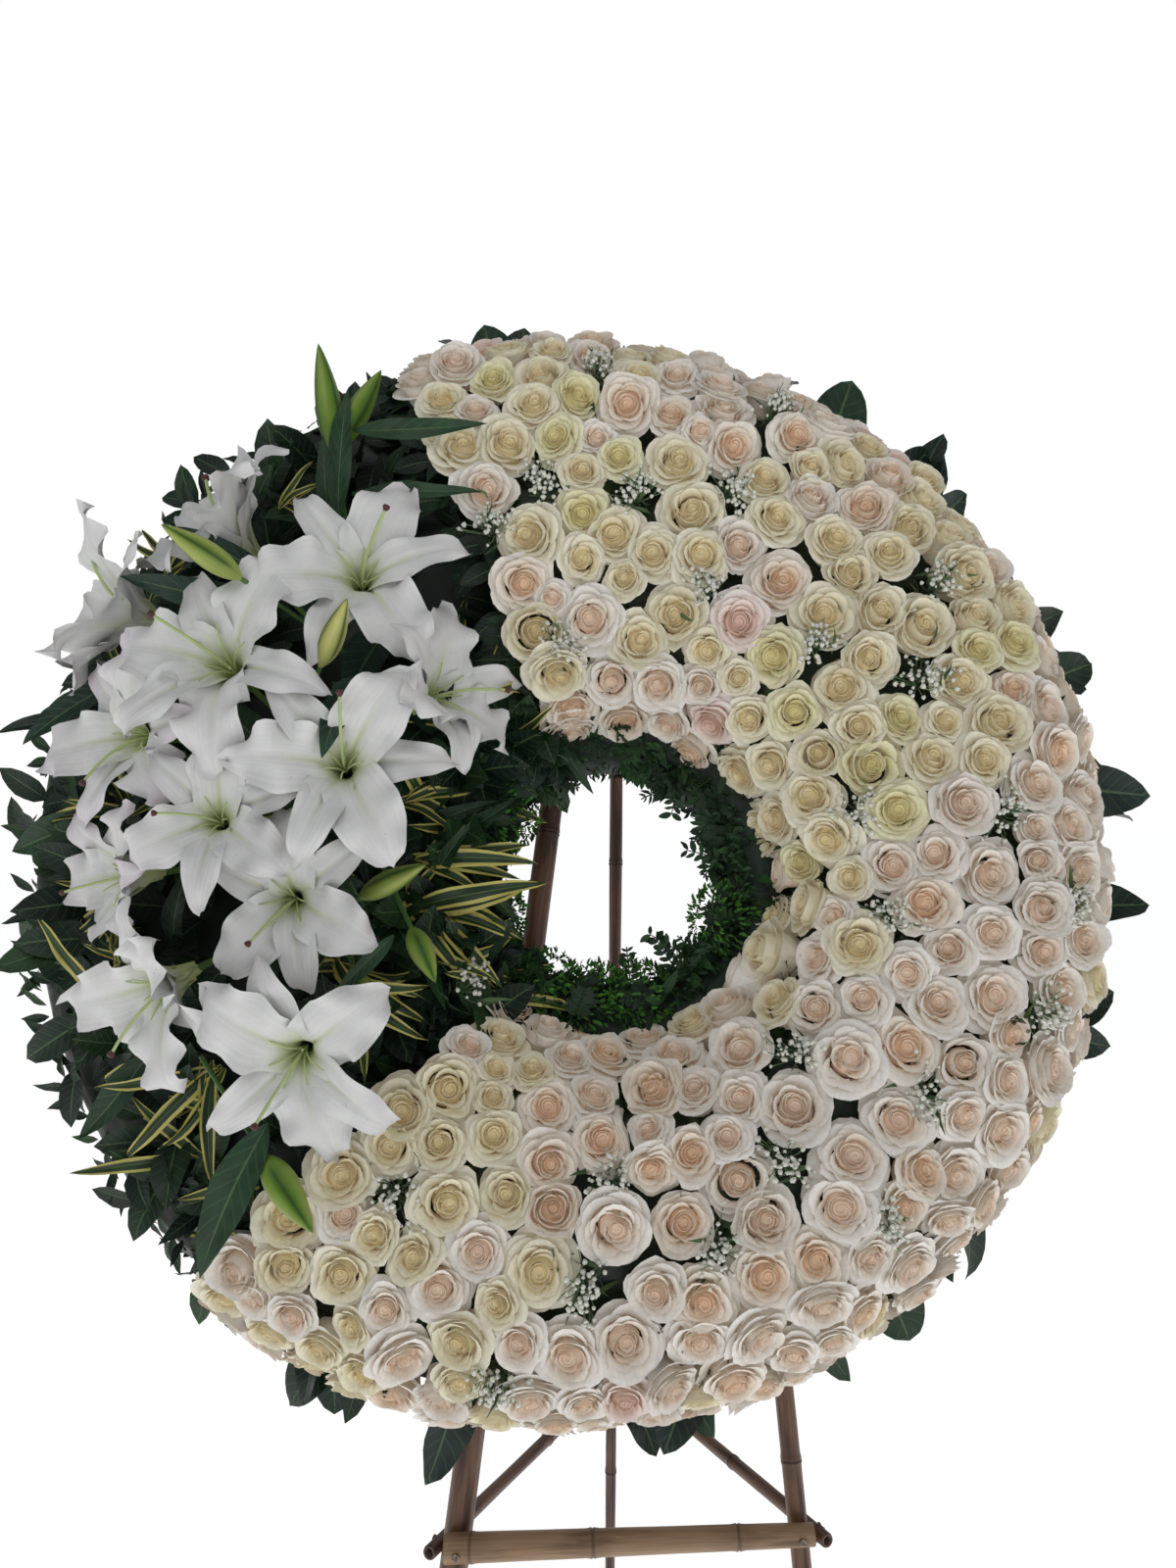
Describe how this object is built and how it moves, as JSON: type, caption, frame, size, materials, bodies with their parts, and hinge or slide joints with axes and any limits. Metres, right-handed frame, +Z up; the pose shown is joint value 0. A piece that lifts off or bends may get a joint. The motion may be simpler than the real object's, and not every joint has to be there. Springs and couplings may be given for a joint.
{
  "type": "funeral wreath",
  "caption": "Standing funeral wreath: an off-centre ring of cream and blush roses with white lilies and leaves at one side, leaning on a bamboo tripod easel.",
  "frame": {"origin": "on the floor, under the middle of the whole object's box", "axes": "+X to the viewer's right, +Y away from the viewer (the flowers face -Y), +Z up"},
  "size_m": [1.2952, 0.618, 1.8167],
  "materials": {
    "bamboo": "dry bamboo with a worn natural gloss",
    "nail_steel": "dull wire nail",
    "board": "cut polystyrene board",
    "wet_foam": "crumbly green flower foam",
    "rose_petal": "soft matt petals, blush to cream",
    "lily_petal": "white waxy petals with a green-yellow throat",
    "lily_bud": "ribbed green bud, waxy",
    "variegated_leaf": "green strap leaf with yellow edges",
    "leaf": "dark leathery leaves",
    "fern": "feathery fern and moss"
  },
  "bodies": {
    "root": {"front_leg_left": "bamboo", "front_leg_right": "bamboo", "rear_leg": "bamboo", "lower_crossbar": "bamboo", "upper_crossbar": "bamboo", "side_strut_left": "bamboo", "side_strut_right": "bamboo", "head_nail": "nail_steel", "crossbar_nail_left": "nail_steel", "crossbar_nail_right": "nail_steel", "upper_nail_left": "nail_steel", "upper_nail_right": "nail_steel", "strut_nail_front_left": "nail_steel", "strut_nail_rear_left": "nail_steel", "strut_nail_front_right": "nail_steel", "strut_nail_rear_right": "nail_steel", "ring_nail_left": "nail_steel", "ring_nail_right": "nail_steel", "backing_board": "board", "foam_top": "wet_foam", "foam_left": "wet_foam", "foam_bottom": "wet_foam", "foam_right": "wet_foam", "foliage_bed": "leaf", "leaf_fringe": "leaf", "fern_collar": "fern", "rose_bank_lower_left_outer": "rose_petal", "rose_bank_lower_left_inner": "rose_petal", "rose_bank_bottom_outer": "rose_petal", "rose_bank_bottom_inner": "rose_petal", "rose_bank_lower_right_outer": "rose_petal", "rose_bank_lower_right_inner": "rose_petal", "rose_bank_right_outer": "rose_petal", "rose_bank_right_inner": "rose_petal", "rose_bank_upper_right_outer": "rose_petal", "rose_bank_upper_right_inner": "rose_petal", "rose_bank_top_outer": "rose_petal", "rose_bank_top_inner": "rose_petal", "lily_01": "lily_petal", "lily_02": "lily_petal", "lily_03": "lily_petal", "lily_04": "lily_petal", "lily_05": "lily_petal", "lily_06": "lily_petal", "lily_07": "lily_petal", "lily_08": "lily_petal", "lily_09": "lily_petal", "lily_10": "lily_petal", "lily_11": "lily_petal", "lily_12": "lily_petal", "lily_bud_pair_top": "lily_bud", "lily_bud_03": "lily_bud", "lily_bud_04": "lily_bud", "lily_bud_05": "lily_bud", "lily_bud_06": "lily_bud", "lily_bud_07": "lily_bud", "lily_bud_08": "lily_bud", "spray_hole": "variegated_leaf", "spray_rim": "variegated_leaf", "spray_low": "variegated_leaf"}
  },
  "joints": []
}
